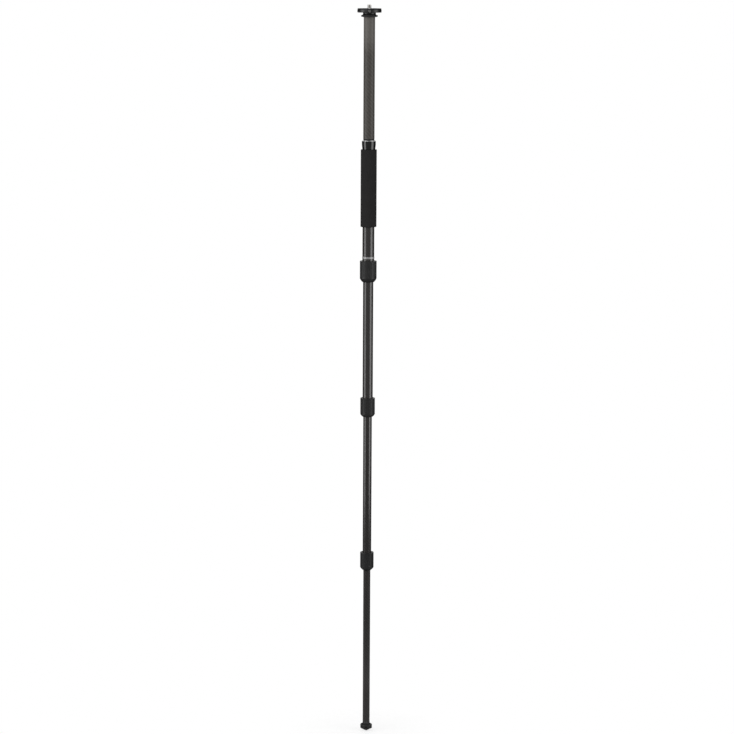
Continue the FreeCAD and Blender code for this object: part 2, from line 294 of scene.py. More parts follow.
# %% Floor finish
pale_sheet, dark_sheet, mirrored_sheet = grey(0.95), grey(0.15), grey(0.08)
dimming_near, dimming_far = 0.75, 0.25
shadow_strength = 0.22
# Distances from the pole, in metres, between which each change takes place.
pale_to_dark = (0.05, 0.9)
near_to_far = (0.28, 0.5)
shadow_to_none = (0.02, 0.2)

floor_finish = Recipe(bpy.data.materials.new("pale_floor"))
ray = floor_finish.node("LightPath")
from_pole = TurnedPoint(floor_finish).distance()
tone = floor_finish.blend(floor_finish.step(from_pole, *pale_to_dark), pale_sheet, dark_sheet)
dimming = fade(dimming_near, dimming_far, floor_finish.step(from_pole, *near_to_far))
tone = floor_finish.blend(dimming * ray["Is Glossy Ray"], tone, mirrored_sheet)
lit = floor_finish.node("BsdfDiffuse", {}, {"Color": tone})
clear = floor_finish.node("BsdfTransparent")
from_above = 1.0 - floor_finish.node("NewGeometry")["Backfacing"]
close_by = 1.0 - floor_finish.step(from_pole, *shadow_to_none)
seen_through = ray["Is Camera Ray"] * (1.0 - shadow_strength * close_by * from_above)
shown = floor_finish.node("MixShader", {}, {0: seen_through, 1: lit, 2: clear})
floor_finish.node("OutputMaterial", {}, {"Surface": shown})
print("the camera sees %.0f%% of the lit sheet at the foot" % (100 * shadow_strength))

# %% Floor sheet
floor_radius = 4.0
sheet = bmesh.new()
bmesh.ops.create_circle(sheet, cap_ends=True, segments=96, radius=floor_radius)
floor_mesh = bpy.data.meshes.new("floor")
sheet.to_mesh(floor_mesh)
sheet.free()
floor_mesh.materials.append(floor_finish.owner)
floor = bpy.data.objects.new("floor", floor_mesh)
scene.collection.objects.link(floor)
print("floor of %.0f m radius at the foot's tip" % floor_radius)

# %% [markdown]
# ## Light from softboxes
# The dark tubes carry two soft upright streaks, about half way from the middle to each edge. A
# round tube mirrors what stands at twice the angle of its own surface, so a streak at half the
# radius, where the surface has turned by thirty degrees, shows a lamp at sixty degrees to the
# side. A point lamp there would draw a hairline, so two tall and wide softboxes stand about there.
# Their lower ends stop above the floor, so the streaks fade towards the foot. Two more lamps hang
# high up, one in front and to the left, one behind. An upright tube can't mirror them towards the
# camera, so they leave no streak: they light the matte colours and put a bright line on edges
# that slope upwards.

# %% Softboxes
side_distance = 1.9
side_low, side_high = 0.12, 2.1
side_radiance = 3.0
high_target = Vector((0.0, 0.0, 1.0))


def softbox(name, turn, place, width, tall, radiance):
    """A rectangular area lamp that shines along its own -Z, turned and then put in its place."""
    lamp = bpy.data.lights.new(name, "AREA")
    lamp.shape = "RECTANGLE"
    lamp.size = width
    lamp.size_y = tall
    lamp.energy = radiance * math.pi * width * tall
    made = bpy.data.objects.new(name, lamp)
    scene.collection.objects.link(made)
    made.matrix_world = Matrix.Translation(place) @ turn
    print(name, "gives %.0f W" % lamp.energy)


def side_softbox(name, side, width):
    """An upright softbox that faces the pole, at an angle in degrees from the camera's side."""
    turn = Matrix.Rotation(math.radians(side), 4, "Z")
    place = turn @ Vector((0.0, -side_distance, (side_low + side_high) / 2))
    upright = turn @ Matrix.Rotation(math.pi / 2, 4, "X")
    softbox(name, upright, place, width, side_high - side_low, side_radiance)


def high_softbox(name, place, width, tall, radiance):
    """A softbox above the pole, tilted to face the target on it."""
    turn = (place - high_target).to_track_quat("Z", "Y").to_matrix().to_4x4()
    softbox(name, turn, place, width, tall, radiance)


side_softbox("softbox_left", side=-69.0, width=1.16)
side_softbox("softbox_right", side=64.0, width=1.3)
high_softbox("softbox_front", Vector((-1.4, -2.5, 3.1)), width=3.0, tall=2.2, radiance=3.4)
high_softbox("softbox_rear", Vector((0.0, 2.4, 3.2)), width=3.0, tall=2.0, radiance=2.0)

# %% [markdown]
# ## Remaking a piece as a mesh
# A few pieces need finer detail than the CAD model has. The CAD mesh could be carved further, but
# it is loose triangles, so each of these pieces is built anew with bmesh operators. One function
# hands them all over: it merges the doubles, turns the faces outwards, smooths them but keeps
# sharp edges crisp, makes the piece ride on its CAD body and hides the plain solid that it stands
# for.

# %% From a bmesh to a riding piece
doubles_within = 0.002 * MM
crisp_above = math.radians(35.0)


def hand_over(name, form, body, node):
    """Makes an object of a bmesh and frees it. The object rides on a body and replaces a node."""
    bmesh.ops.remove_doubles(form, verts=form.verts, dist=doubles_within)
    bmesh.ops.recalc_face_normals(form, faces=form.faces)
    mesh = bpy.data.meshes.new(name)
    form.to_mesh(mesh)
    form.free()
    mesh.polygons.foreach_set("use_smooth", [True] * len(mesh.polygons))
    mesh.set_sharp_from_angle(angle=crisp_above)
    made = bpy.data.objects.new(name, mesh)
    scene.collection.objects.link(made)
    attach(made, body)
    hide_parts(node)
    print(name, "has", len(mesh.polygons), "faces")
    return made


# %% [markdown]
# ## Rings that close on themselves
# The foam sleeve and the rubber grips are thick rings. Spinning a profile would make a ring whose
# every section is the same, but these have lumps or ribs. So each starts as a circle of edges. The
# circle is extruded again and again, and each new circle is moved to its own height and to a
# radius that may change with the angle: up the outer side, over the rim and down the inner side.
# The last circle lands on the first, and merging the doubles closes the skin.

# %% A ring from circles
def extruded_loop(form, edges):
    """Extrudes a closed loop of edges and returns the new loop's points and edges."""
    grown = bmesh.ops.extrude_edge_only(form, edges=edges)["geom"]
    verts = [part for part in grown if isinstance(part, bmesh.types.BMVert)]
    new = set(verts)
    loop = [part for part in grown if isinstance(part, bmesh.types.BMEdge)
            and part.verts[0] in new and part.verts[1] in new]
    return verts, loop


def ring_from_circles(segments, circles):
    """A closed ring. Each circle is a height and a radius, which may be a function of the angle."""
    form = bmesh.new()
    verts = bmesh.ops.create_circle(form, segments=segments, radius=1.0)["verts"]
    loop = form.edges[:]
    for index, (height, radius) in enumerate(circles):
        if index > 0:
            verts, loop = extruded_loop(form, loop)
        for vert in verts:
            angle = math.atan2(vert.co.y, vert.co.x)
            reach = radius(angle) if callable(radius) else radius
            vert.co = (reach * math.cos(angle), reach * math.sin(angle), height)
    return form


def quarter_round(radius, steps):
    """A rounded edge from the end face to the side: how far each point lies in from the two."""
    turns = [math.pi / 2 * step / steps for step in range(steps + 1)]
    return [(radius * (1 - math.cos(turn)), radius * (1 - math.sin(turn))) for turn in turns]


sample = ring_from_circles(8, [(0.0, 1.0), (1.0, 1.0), (1.0, 0.5)])
print("three circles of 8 points make", len(sample.faces), "faces")
sample.free()

# %% [markdown]
# ## The foam sleeve
# The hand grip is a sleeve of closed-cell foam pushed over the upper tube. Foam is cut and
# skinned, not machined: its ends are softly rounded and its surface wanders by a tenth of a
# millimetre or so. A Displace modifier could give that unevenness to any mesh, but it also pushes
# outwards. A smooth noise on the angle and the height, worked into the circles themselves, only
# takes material away, so the sleeve stays in its space.

# %% Foam sleeve
foam_bore = 13.63 * MM
foam_edge = 0.9 * MM
foam_wander = 0.14 * MM
foam_points = 96
foam_rows = 60
lumps_round = 1.2
lumps_per_metre = 28.0

foam_low, foam_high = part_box("foam_grip")
foam_radius = foam_high.x
foam_rim = quarter_round(foam_edge, 6)


def foam_side(height, inset=0.0):
    """Radius of the sleeve at a height, as a function of the angle, drawn in by an inset."""
    def reach(angle):
        spot = Vector((lumps_round * math.cos(angle), lumps_round * math.sin(angle),
                       lumps_per_metre * height))
        return foam_radius - inset - foam_wander * (0.5 + 0.5 * noise.noise(spot))
    return reach


straight = foam_high.z - foam_low.z - 2 * foam_edge
circles = [(foam_low.z, foam_bore)]
circles += [(foam_low.z + rise, foam_side(foam_low.z, inset)) for rise, inset in foam_rim]
for row in range(1, foam_rows):
    level = foam_low.z + foam_edge + straight * row / foam_rows
    circles.append((level, foam_side(level)))
circles += [(foam_high.z - drop, foam_side(foam_high.z, inset)) for drop, inset in reversed(foam_rim)]
circles += [(foam_high.z, foam_bore), (foam_low.z, foam_bore)]
form = ring_from_circles(foam_points, circles)
foam_sleeve = hand_over("foam_sleeve", form, "upper_leg", "foam_grip")

# %% [markdown]
# ## The ribbed grips
# Each twist lock wears a rubber sleeve with upright ribs that stop short of its ends. Grooves cut
# out of a plain sleeve would have sharp, square ends. Here the sleeve is the same kind of ring,
# with twelve points to a rib and its groove: a point in a groove moves inwards along a smooth
# curve, and the groove fades out near both ends, which gives it a moulded, rounded look.

# %% Ribbed grips
rib_pitch = 4.0 * MM
rib_depth = 0.5 * MM
rib_points = 12
groove_share = 0.31
grip_wall = 1.37 * MM
grip_chamfer = 0.25 * MM
grip_rim = quarter_round(0.3 * MM, 4)
# How deep a groove is, as a share of its full depth, at a distance from the grip's end.
groove_end = ((0.0, 1.3 * MM), (0.55, 1.55 * MM), (0.85, 1.9 * MM), (1.0, 2.4 * MM))


def grip_side(radius, ribs, depth_share):
    """Radius of a grip as a function of the angle. A groove takes groove_share of each pitch."""
    def reach(angle):
        off_middle = abs((angle * ribs / (2 * math.pi)) % 1.0 - 0.5)
        if off_middle >= groove_share / 2:
            return radius
        groove = math.sqrt(math.cos(math.pi * off_middle / groove_share))
        return radius - rib_depth * depth_share * groove
    return reach


ribbed_grips = {}
for number in (1, 2, 3):
    low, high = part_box("lock_%d_grip" % number)
    radius = high.x
    inner = radius - grip_wall
    ribs = round(2 * math.pi * radius / rib_pitch)
    circles = [(low.z, inner), (low.z, radius - grip_chamfer), (low.z + grip_chamfer, radius)]
    for share, rise in groove_end:
        circles.append((low.z + rise, grip_side(radius, ribs, share)))
    for share, drop in reversed(groove_end):
        circles.append((high.z - drop, grip_side(radius, ribs, share)))
    circles += [(high.z - drop, radius - inset) for drop, inset in reversed(grip_rim)]
    circles += [(high.z, inner), (low.z, inner)]
    form = ring_from_circles(ribs * rib_points, circles)
    ribbed_grips[number] = hand_over("lock_%d_ribbed_grip" % number, form, "lock_%d_nut" % number,
                                     "lock_%d_grip" % number)

# %% [markdown]
# ## Cutting a screw thread
# CAD keeps a thread as a plain cylinder, but a camera stud is judged by its thread. A bump could
# draw the turns, but not their outline against the white. So one tooth of the thread is drawn
# with a few edges. Spin turns them round the axis and lifts them as it goes, so after one turn
# the tooth stands exactly one pitch higher and shares its edge with its own start. Merging the
# doubles makes one continuous skin, which two planes cut to length. The thread is made at the
# origin and lifted at the end, because small steps added to a large height would drift.

# %% Thread skin
steps_per_turn = 40
thread_depth = 0.6
thread_run_in = 1.3
seam_within = 0.004 * MM


def cut_across(form, height, outwards=1.0, clear=False):
    """Cuts a form level at a height. If asked, it clears the part that lies outwards of it."""
    bmesh.ops.bisect_plane(form, geom=form.verts[:] + form.edges[:] + form.faces[:],
                           plane_co=(0, 0, height), plane_no=(0, 0, outwards), clear_outer=clear)


def thread_skin(crest, pitch, length):
    """Open skin of a thread from height 0 to its length. Depth and run-in count in pitches."""
    root = crest - thread_depth * pitch
    start = -thread_run_in * pitch
    turns = math.ceil((length - start) / pitch) + 1
    # A tooth is a list of radii, each at a height that is a share of the pitch.
    tooth = ((root, 0.0), (root, 0.12), (crest, 0.44), (crest, 0.56), (root, 0.88), (root, 1.0))
    form = bmesh.new()
    verts = [form.verts.new((radius, 0.0, start + share * pitch)) for radius, share in tooth]
    edges = [form.edges.new(pair) for pair in zip(verts, verts[1:])]
    bmesh.ops.spin(form, geom=verts + edges, cent=(0, 0, 0), axis=(0, 0, 1),
                   dvec=(0, 0, pitch / steps_per_turn), angle=2 * math.pi * turns,
                   steps=steps_per_turn * turns, use_merge=False, use_duplicate=False)
    bmesh.ops.remove_doubles(form, verts=form.verts, dist=seam_within)
    cut_across(form, 0.0, outwards=-1.0, clear=True)
    cut_across(form, length, clear=True)
    return form


print("a thread has", steps_per_turn, "steps to a turn")

# %% [markdown]
# ## The three screws
# The camera stud has a relief at the pad, where the thread is turned away so that a camera seats
# flat, and a hexagon socket for a key on top. Both ends of every screw are chamfered, so the
# first thread starts easily. A boolean could cut all this, but it leaves slivers on a thread. So
# points that reach too far are drawn in to a limit. The socket is a circle with six corners, pushed
# down, and triangles fill the flat end between it and the thread's cut rim.

# %% Chamfers and reliefs
def slim(form, low, high, limit):
    """Draws points between two heights in to a limit, which is a function of the height."""
    for vert in form.verts:
        if low <= vert.co.z <= high:
            reach = math.hypot(vert.co.x, vert.co.y)
            most = limit(vert.co.z)
            if reach > most:
                vert.co.x *= most / reach
                vert.co.y *= most / reach


def chamfer_ends(form, crest, length, chamfer):
    slim(form, 0.0, chamfer, lambda height: crest - chamfer + height)
    slim(form, length - chamfer, length, lambda height: crest - chamfer + length - height)


print("both ends of a screw are chamfered at 45 degrees")

# %% Ends of a screw
rim_within = 0.01 * MM


def close_end(form, height, socket_flats=0.0, socket_depth=0.0):
    """Closes the open end at a height, with a hexagon socket if it has a width over flats."""
    rim = [edge for edge in form.edges if edge.is_boundary
           and all(abs(vert.co.z - height) < rim_within for vert in edge.verts)]
    if not socket_flats:
        bmesh.ops.edgeloop_fill(form, edges=rim)
        return
    corners = bmesh.ops.create_circle(form, segments=6, radius=socket_flats / math.sqrt(3.0),
                                      matrix=Matrix.Translation((0, 0, height)))["verts"]
    mouth = [edge for edge in form.edges if edge.verts[0] in corners and edge.verts[1] in corners]
    bmesh.ops.triangle_fill(form, edges=rim + mouth, normal=(0, 0, 1), use_beauty=True)
    base_corners, base = extruded_loop(form, mouth)
    bmesh.ops.translate(form, verts=base_corners, vec=(0, 0, -socket_depth))
    bmesh.ops.edgeloop_fill(form, edges=base)


def plain_screw(crest, pitch, length, chamfer):
    """A closed screw without a head, from height 0 to its length."""
    form = thread_skin(crest, pitch, length)
    chamfer_ends(form, crest, length, chamfer)
    close_end(form, 0.0)
    close_end(form, length)
    return form


print("points within %.0f micrometres of an end are its rim" % (rim_within / MM * 1000))

# %% Camera stud
stud_pitch = 1.5875 * MM
stud_chamfer = 0.6 * MM
relief_depth = 0.85 * MM
relief_above_pad = 0.8 * MM
key_flats = 4.0 * MM
key_depth = 4.5 * MM
slack = 0.001 * MM

stud_low, stud_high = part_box("camera_stud")
stud_length = stud_high.z - stud_low.z
relief_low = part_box("camera_plate")[1].z - stud_low.z
relief_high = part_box("top_pad")[1].z + relief_above_pad - stud_low.z
stud = thread_skin(stud_high.x, stud_pitch, stud_length)
cut_across(stud, relief_low)
cut_across(stud, relief_high)
slim(stud, relief_low - slack, relief_high + slack, lambda height: stud_high.x - relief_depth)
chamfer_ends(stud, stud_high.x, stud_length, stud_chamfer)
close_end(stud, 0.0)
close_end(stud, stud_length, socket_flats=key_flats, socket_depth=key_depth)
bmesh.ops.translate(stud, verts=stud.verts, vec=(0, 0, stud_low.z))
threaded_stud = hand_over("camera_stud_thread", stud, "column", "camera_stud")

# %% Column screw
screw_low, screw_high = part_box("column_stud")
screw = plain_screw(screw_high.x, stud_pitch, screw_high.z - screw_low.z, stud_chamfer)
bmesh.ops.translate(screw, verts=screw.verts, vec=(0, 0, screw_low.z))
column_screw = hand_over("column_stud_thread", screw, "column", "column_stud")

# %% Foot screw
foot_pitch = 1.27 * MM
foot_crest = 3.175 * MM
foot_chamfer = 0.5 * MM
head_height = 3.0 * MM

foot_low, foot_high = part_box("foot_stud")
head_top = foot_low.z + head_height
screw = plain_screw(foot_crest, foot_pitch, foot_high.z - head_top, foot_chamfer)
bmesh.ops.translate(screw, verts=screw.verts, vec=(0, 0, head_top))
head_middle = Matrix.Translation((0, 0, foot_low.z + head_height / 2))
bmesh.ops.create_cone(screw, cap_ends=True, segments=64, radius1=foot_high.x,
                      radius2=foot_high.x, depth=head_height, matrix=head_middle)
foot_screw = hand_over("foot_stud_thread", screw, "foot", "foot_stud")

# %% [markdown]
# ## Painting the pieces
# From here on every surface gets its material. One helper starts a material's recipe and one ends
# it with the shader, so that each finish below is only what is special about it. A third hands
# the material to the CAD nodes and to the remade pieces that share it.

# %% Start, end and hand out a material
def new_recipe(name):
    return Recipe(bpy.data.materials.new(name))


def finish(recipe, **sockets):
    """Ends a recipe with the shader. A socket's name is written with underscores for spaces."""
    named = {name.replace("_", " "): value for name, value in sockets.items()}
    shader = recipe.node("BsdfPrincipled", {}, named)
    recipe.node("OutputMaterial", {}, {"Surface": shader})
    return recipe.owner


def dress(material, *wearers):
    """Puts a material on pieces, each given as an object or as the name of a CAD node."""
    for wearer in wearers:
        piece = nodes[wearer] if isinstance(wearer, str) else wearer
        if not piece.data.materials:
            piece.data.materials.append(material)
        for slot in piece.material_slots:
            slot.material = material
    print(material.name, "on", len(wearers))


# %% [markdown]
# ## Woven composite
# The column and the leg are wound from woven composite. In a twill weave each flat strand, or
# tow, runs over two and under two of those it crosses, shifted by one each row, which draws
# diagonal steps. A picture of cloth wrapped round the tube would blur close up and show a seam,
# so the cloth is worked out from numbers. The angle counts tows round the tube, a whole number of
# fours so that the pattern meets itself, and the height counts them up it. The whole part of both
# says which tow is on top. The fraction gives the tow's rounded back, and a count of two rows
# gives its length on top, where it rises out of the cloth and dives under again.

# %% Twill weave
def twill(recipe, point, radius, tow):
    """Relief of the weave, 1 where a tow runs up the tube, and a tone for each tow."""
    count = 4 * round(2 * math.pi * radius / tow / 4)
    round_it = point.angle() * (count / (2 * math.pi))
    up_it = point.height / tow
    column_of, row_of = recipe.maths("FLOOR", round_it), recipe.maths("FLOOR", up_it)
    upright = ((column_of + row_of) % 4.0) < 2.0
    across = 2.0 * (round_it - column_of) - 1.0
    along = 2.0 * (up_it - row_of) - 1.0
    upright_dive = (column_of + up_it) % 4.0 - 1.0
    level_dive = (row_of + round_it) % 4.0 - 3.0
    upright_back = (1.0 - across * across) * (1.0 - upright_dive ** 4.0)
    level_back = (1.0 - along * along) * (1.0 - level_dive ** 4.0)
    relief = upright_back * upright + level_back * (1.0 - upright)
    # Every tow has a spot of its own in a noise. The last number keeps the two ways apart.
    strand = recipe.vector(column_of * upright, row_of * (1.0 - upright), upright * 7.0)
    tone = recipe.grain(strand, 0.83, 0.0)
    return relief, upright, tone


print("a twill repeats after four tows")

# %% [markdown]
# ## The matte column
# The column's composite has no coat: it is warm, grey and dull. It could share the leg's material
# with other numbers, but that one is made for a gloss, so the column gets a recipe of its own on
# the same weave. A slow noise makes it cloudy, a fast one gives it pores, and its top near the
# plate is painted paler, a painted highlight.

# %% Matte column
column_tow = 2.3 * MM
column_dark, column_light = paint(0.037, 0.0335, 0.03), paint(0.094, 0.086, 0.0775)
column_crease_shade, column_top_highlight = paint(0.03, 0.028, 0.026), paint(0.2, 0.187, 0.172)
highlight_from, highlight_to = 1.6, 1.645


def matte_weave(name, radius):
    recipe = new_recipe(name)
    point = TurnedPoint(recipe)
    relief, upright, tone = twill(recipe, point, radius, column_tow)
    cloud = recipe.grain(point.place, 95.0, 3.0, 0.6)
    pores = recipe.grain(point.place, 2600.0, 2.0)
    # Upright tows are painted lighter than level ones: a painted sheen for the shine that turns with
    # a tow's direction.
    share = 0.3 * upright + 0.45 * tone + 0.6 * cloud - 0.2
    colour = recipe.blend(share, column_dark, column_light)
    # Painted highlight: the top of the column near the plate is painted paler.
    paler_share = recipe.step(point.height + 0.03 * cloud, highlight_from, highlight_to)
    colour = recipe.blend(0.4 * paler_share, colour, column_top_highlight)
    # Painted shade: the creases between the tows are painted darker.
    colour = recipe.blend(0.4 * (1.0 - relief), colour, column_crease_shade)
    roughness = 0.3 + 0.12 * tone + 0.06 * cloud
    normal = recipe.bump(relief * 0.8 + pores * 0.2, 0.05 * MM, 0.6)
    return finish(recipe, Base_Color=colour, Roughness=roughness, Normal=normal, IOR=1.3)


dress(matte_weave("matte_column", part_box("column_tube")[1].x), "column_tube")

# %% [markdown]
# ## Clear-coated leg tubes
# The leg's tubes have the same weave under a clear coat. A low roughness alone would make the
# weave itself shine. The coat is a second, smooth layer on the shader: it carries the sharp
# streaks of the softboxes, while the weave below it stays dark. Where the tubes slide, fine
# upright marks cloud the coat. They come from a noise stretched along the height, which thins the
# coat and roughens what lies under it.

# %% Coated tubes
leg_tow = 1.8 * MM
leg_dark, leg_light = paint(0.014, 0.0125, 0.0117), paint(0.037, 0.0328, 0.031)
leg_crease_shade, leg_rubbed = paint(0.006, 0.0054, 0.005), grey(0.16)
marks_per_metre = (900.0, 900.0, 14.0)


def coated_weave(name, radius):
    recipe = new_recipe(name)
    point = TurnedPoint(recipe)
    relief, upright, tone = twill(recipe, point, radius, leg_tow)
    stretched = recipe.node("Mapping", {}, {"Vector": point.place, "Scale": marks_per_metre})
    marks = recipe.grain(stretched, 1.0, 3.0, 0.6)
    # Upright tows are painted lighter than level ones: a painted sheen for the shine that turns with
    # a tow's direction.
    colour = recipe.blend(0.5 * upright + 0.4 * tone, leg_dark, leg_light)
    # Painted shade: the creases between the tows are painted darker.
    colour = recipe.blend(0.65 * (1.0 - relief), colour, leg_crease_shade)
    colour = recipe.blend(0.06 * recipe.step(marks, 0.55, 0.8), colour, leg_rubbed)
    coat = 1.0 - 0.22 * recipe.step(marks, 0.52, 0.78)
    return finish(recipe, Base_Color=colour, Roughness=0.42 + 0.12 * marks,
                  Normal=recipe.bump(relief, 0.03 * MM, 0.35), IOR=1.25,
                  Coat_Weight=coat, Coat_Roughness=0.14, Coat_IOR=1.5)


for number in (1, 2, 3, 4):
    tube_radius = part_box("leg_tube_%d" % number)[1].x
    dress(coated_weave("coated_tube_%d" % number, tube_radius), "leg_tube_%d" % number)

# %% [markdown]
# ## Turned metal
# Metal turned on a lathe carries fine rings left by the tool. Anisotropy would stretch the shine
# in the same way, but shows no ring close up. A noise that knows only the height and the distance
# from the axis is the same all the way round, so it draws the rings themselves. The black parts
# are anodised afterwards: a thin dark skin that wears to bare metal on the edges that are knocked
# most. The ring under the plate is duller than the neck above it.

# %% Lathe rings
def lathe_rings(recipe, height, distance, spacing):
    """Noise that is constant round the axis, so it forms fine rings."""
    return recipe.grain(recipe.vector(height / spacing, distance / spacing, 0.0), 1.0, 2.0, 0.6)


print("lathe rings need only a height and a distance")

# %% Black anodised skin
skin_dark, skin_light = paint(0.006, 0.006, 0.0063), paint(0.013, 0.013, 0.0135)
bare_metal = paint(0.34, 0.34, 0.35)
wear_up_down, wear_in_out = 0.55 * MM, 0.6 * MM


def black_skin(name, rims, gloss, matte_below=None):
    """rims lists the height and distance of each edge that wears. It is dull under a height."""
    recipe = new_recipe(name)
    point = TurnedPoint(recipe)
    distance = point.distance()
    rings = lathe_rings(recipe, point.height, distance, 0.11 * MM)
    patches = recipe.grain(point.place, 420.0, 4.0, 0.65)
    wear = 0.0
    for rim_height, rim_distance in rims:
        edge = recipe.near(point.height, rim_height, wear_up_down)
        wear = edge * recipe.near(distance, rim_distance, wear_in_out) + wear
    wear = wear * recipe.step(patches, 0.5, 0.72) * 0.5
    colour = recipe.blend(0.5 * patches, skin_dark, skin_light)
    colour = recipe.blend(wear, colour, bare_metal)
    roughness = gloss + 0.1 * rings + 0.05 * patches
    if matte_below:
        roughness = roughness + 0.35 * (point.height < matte_below)
    return finish(recipe, Base_Color=colour, Metallic=wear, Roughness=roughness,
                  Normal=recipe.bump(rings, 0.004 * MM, 0.5), IOR=1.42)


# %% Plate, ring and ferrules
rim_inset = 0.3 * MM
ring_edges = (1.5 * MM, 4.6 * MM)
ring_top = 4.9 * MM

plate_low, plate_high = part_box("camera_plate")
plate_rims = [(height, plate_high.x - rim_inset)
              for height in (plate_low.z + rim_inset, plate_high.z - rim_inset)]
dress(black_skin("anodised_plate", plate_rims, gloss=0.26), "camera_plate")

tube_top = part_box("column_tube")[1].z
flange_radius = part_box("column_top_flange")[1].x
ring_rims = [(tube_top + rise, flange_radius - rim_inset) for rise in ring_edges]
dress(black_skin("anodised_ring", ring_rims, gloss=0.3, matte_below=tube_top + ring_top),
      "column_top_flange")

for number in (1, 2, 3):
    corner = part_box("lock_%d_ferrule" % number)[1]
    dress(black_skin("anodised_ferrule_%d" % number, [(corner.z, corner.x)], gloss=0.4),
          "lock_%d_ferrule" % number)

# %% [markdown]
# ## The glossy collar
# The cap above the foam is polished before it is coloured, so it mirrors its surroundings: two
# streaks and a black middle. A perfect mirror looks made of glass, so a faint haze of handling
# breaks it up. The bevel round its top is cut last, through the colour, so a ring of bare metal
# shines there. It needs no mesh of its own: the height and the distance say where it is.

# %% Polished black collar
collar_bevel = 2.0 * MM
polish_dark, polish_light = paint(0.003, 0.003, 0.0034), paint(0.007, 0.007, 0.0075)
bevel_metal = grey(0.75)


def polished_black(name, top, radius, bevel):
    """Polished black with a bare bevel, whose height and width are the same."""
    recipe = new_recipe(name)
    point = TurnedPoint(recipe)
    distance = point.distance()
    haze = recipe.grain(point.place, 160.0, 4.0, 0.6)
    rings = lathe_rings(recipe, point.height, distance, 0.16 * MM)
    bare = (point.height > top - bevel) * (distance > radius - bevel)
    colour = recipe.blend(haze, polish_dark, polish_light)
    colour = recipe.blend(bare, colour, bevel_metal)
    roughness = 0.06 + 0.08 * recipe.step(haze, 0.35, 0.75) + 0.03 * rings + 0.2 * bare
    return finish(recipe, Base_Color=colour, Metallic=bare, Roughness=roughness,
                  Normal=recipe.bump(rings, 0.002 * MM, 0.4), IOR=1.5)


collar_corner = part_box("leg_collar")[1]
dress(polished_black("polished_collar", collar_corner.z, collar_corner.x, collar_bevel),
      "leg_collar")

# %% [markdown]
# ## Bright metals
# Steel and bare aluminium are metallic: their colour is the colour of their reflection. Plain
# metal would look cast from one piece of chrome, so the rings left by the lathe break it up, a
# film of handling stains it, and the roughness carries the difference between a satin band and a
# bright screw. The band is also anodised clear. Its oxide is a little milky and scatters a share
# of the light as paint does.

# %% Bright metal
def bright_metal(name, colour, gloss, ring_spacing, stain, milky=0.0):
    """stain is how much of the film shows, milky the share of light that scatters as in paint."""
    recipe = new_recipe(name)
    point = TurnedPoint(recipe)
    rings = lathe_rings(recipe, point.height, point.distance(), ring_spacing)
    film = recipe.grain(point.place, 380.0, 4.0, 0.7)
    dull = paint(*(0.55 * part for part in colour[:3]))
    shade = recipe.blend(stain * recipe.step(film, 0.45, 0.8), colour, dull)
    roughness = gloss + 0.14 * rings + 0.06 * film
    return finish(recipe, Base_Color=shade, Metallic=1.0 - milky, Roughness=roughness,
                  Normal=recipe.bump(rings, 0.004 * MM, 0.6))


dress(bright_metal("bright_steel", paint(0.62, 0.61, 0.59), gloss=0.2, ring_spacing=0.09 * MM,
                   stain=0.5), threaded_stud, column_screw, foot_screw)
dress(bright_metal("dark_steel", paint(0.2, 0.198, 0.193), gloss=0.3, ring_spacing=0.09 * MM,
                   stain=0.5), "plate_set_screw")
dress(bright_metal("satin_band", grey(0.28), gloss=0.38, ring_spacing=0.08 * MM, stain=0.3,
                   milky=0.5), "silver_band")
dress(bright_metal("turned_aluminium", paint(0.6, 0.6, 0.61), gloss=0.3, ring_spacing=0.14 * MM,
                   stain=0.4), "column_bottom_plug", "foot_plug")

# %% [markdown]
# ## Foam
# Closed-cell foam is a mass of tiny bubbles under a thin skin. There are far too many to model,
# and a plain noise has no cells, so a Voronoi texture gives them: each pit is painted darkest at
# its middle, a painted shade in the hollow. A slower noise varies the skin, and the surface is
# rough with little gloss.

# %% Closed-cell foam
cells_per_metre = 1500.0
foam_dark, foam_light = paint(0.012, 0.0114, 0.0116), paint(0.025, 0.0239, 0.0244)
foam_pit_shade = grey(0.003)


def closed_cell_foam(name):
    recipe = new_recipe(name)
    place = TurnedPoint(recipe).place
    cells = recipe.node("TexVoronoi", {"feature": "F1"},
                        {"Vector": place, "Scale": cells_per_metre})["Distance"]
    walls = recipe.step(cells, 0.1, 0.55)
    skin = recipe.grain(place, 70.0, 4.0, 0.6)
    fine = recipe.grain(place, 900.0, 3.0, 0.6)
    colour = recipe.blend(0.6 * skin + 0.4 * fine, foam_dark, foam_light)
    # Painted shade: the middle of each pit is painted darker.
    colour = recipe.blend(0.6 * (1.0 - walls), colour, foam_pit_shade)
    normal = recipe.bump(0.7 * walls + 0.3 * fine, 0.16 * MM, 0.7)
    return finish(recipe, Base_Color=colour, Roughness=0.78 + 0.14 * fine, Normal=normal,
                  IOR=1.22)


dress(closed_cell_foam("closed_cell_foam"), foam_sleeve)

# %% [markdown]
# ## Rubber and moulded plastic
# Moulded parts take the texture of their mould. Rubber gets a close stipple and a broad, weak
# shine, plastic a finer grain and a sharper one. One colour all over would look like a render, so
# the colours depend a little on where a point lies: hands polish the crowns of the ribs, and the
# grooves between them are painted darker as shade, dust settles where the foot meets the ground,
# and painted shade darkens the corners where shade falls, which are the mouth of each lock, the
# root of the foot's neck and the hole in its skirt.

# %% Moulded skin
crown_depth = 0.35 * MM
groove_shade_black, settled_dust, painted_shade_black = grey(0.004), paint(0.12, 0.115, 0.105), grey(0.0015)


